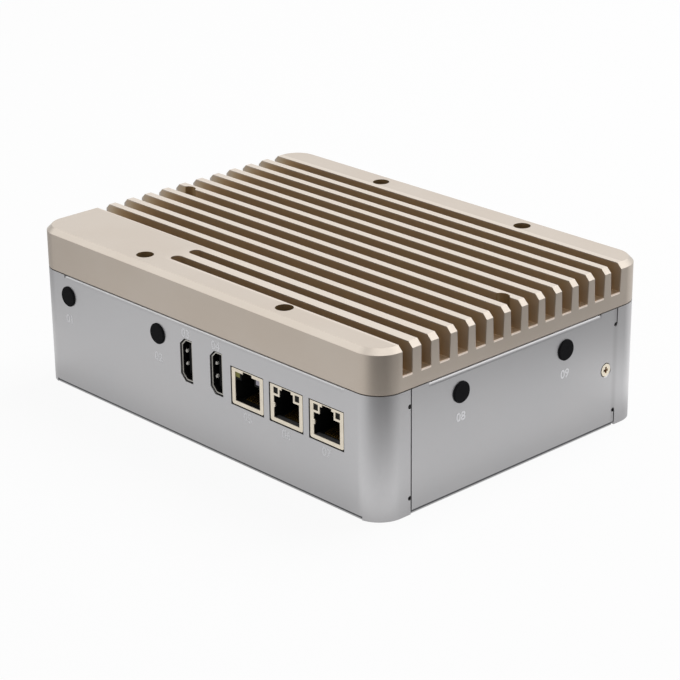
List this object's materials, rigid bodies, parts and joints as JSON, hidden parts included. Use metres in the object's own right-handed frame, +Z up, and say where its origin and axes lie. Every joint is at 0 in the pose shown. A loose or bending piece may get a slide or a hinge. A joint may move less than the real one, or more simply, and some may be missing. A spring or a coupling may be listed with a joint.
{
  "type": "fanless industrial pc",
  "caption": "Fanless industrial computer: a finned heat-sink lid on a flat sheet-metal box with network and video sockets, plugged antenna holes and a rear power button.",
  "frame": {"origin": "centre of the whole part's outline, on the underside of the bottom cover", "axes": "+X along the long socket side towards the side with two antenna plugs, +Y from the socket side to the rear, +Z up through the fins"},
  "size_m": [0.1808, 0.1324, 0.0605],
  "materials": {
    "lid_anodised": "champagne anodised, satin",
    "screw_dark": "black oxide",
    "screw_nickel": "nickel plated",
    "shell_metal": "silver, satin",
    "plug_rubber": "matt black",
    "jack_nickel": "nickel plated",
    "plastic_black": "moulded",
    "contact_gold": "gold plated",
    "light_window": "clear, unlit",
    "board_green": "solder mask over glass fibre",
    "chip_black": "moulded",
    "capacitor_can": "drawn can",
    "cell_steel": "plain",
    "post_brass": "turned",
    "thermal_grey": "soft pad",
    "block_aluminium": "milled",
    "board_black": "black solder mask",
    "terminal_green": "moulded",
    "button_plastic": "black"
  },
  "bodies": {
    "chassis": {"heatsink_lid": "lid_anodised", "lid_screws": "screw_dark", "flange_nuts": "screw_nickel", "front_panel": "shell_metal", "side_rear_shell": "shell_metal", "side_screws": "screw_nickel", "bottom_cover": "shell_metal", "cover_nuts": "screw_nickel", "antenna_plug_1": "plug_rubber", "antenna_plug_2": "plug_rubber", "antenna_plug_3": "plug_rubber", "antenna_plug_4": "plug_rubber", "network_shield_1": "jack_nickel", "network_shield_2": "jack_nickel", "network_shield_3": "jack_nickel", "network_insert_1": "plastic_black", "network_insert_2": "plastic_black", "network_insert_3": "plastic_black", "network_contacts_1": "contact_gold", "network_contacts_2": "contact_gold", "network_contacts_3": "contact_gold", "network_lights": "light_window", "video_shell_1": "jack_nickel", "video_shell_2": "jack_nickel", "video_insert_1": "plastic_black", "video_insert_2": "plastic_black", "mainboard": "board_green", "board_posts": "screw_nickel", "board_screws": "screw_nickel", "board_parts": "chip_black", "capacitors": "capacitor_can", "coin_holder": "plastic_black", "coin_cell": "cell_steel", "module_board": "board_green", "module_chips": "chip_black", "module_connector": "plastic_black", "module_posts": "post_brass", "module_screws": "screw_nickel", "thermal_pad": "thermal_grey", "heat_block": "block_aluminium", "block_screws": "screw_nickel", "ssd": "board_black", "ssd_socket": "plastic_black", "ssd_screw": "screw_nickel", "usb_shell": "jack_nickel", "usb_insert": "plastic_black", "power_terminal": "terminal_green", "power_pins": "contact_gold", "signal_terminal": "terminal_green", "signal_pins": "contact_gold", "power_switch": "plastic_black", "light_pipes": "light_window"},
    "power_button": {"power_button": "button_plastic"}
  },
  "joints": [
    {"name": "power_press", "type": "slide", "parent": "chassis", "child": "power_button", "axis": [0, -1, 0], "range_m": [0, 0.0008], "stiffness_N_per_m": 500, "springref_m": -0.0008}
  ]
}
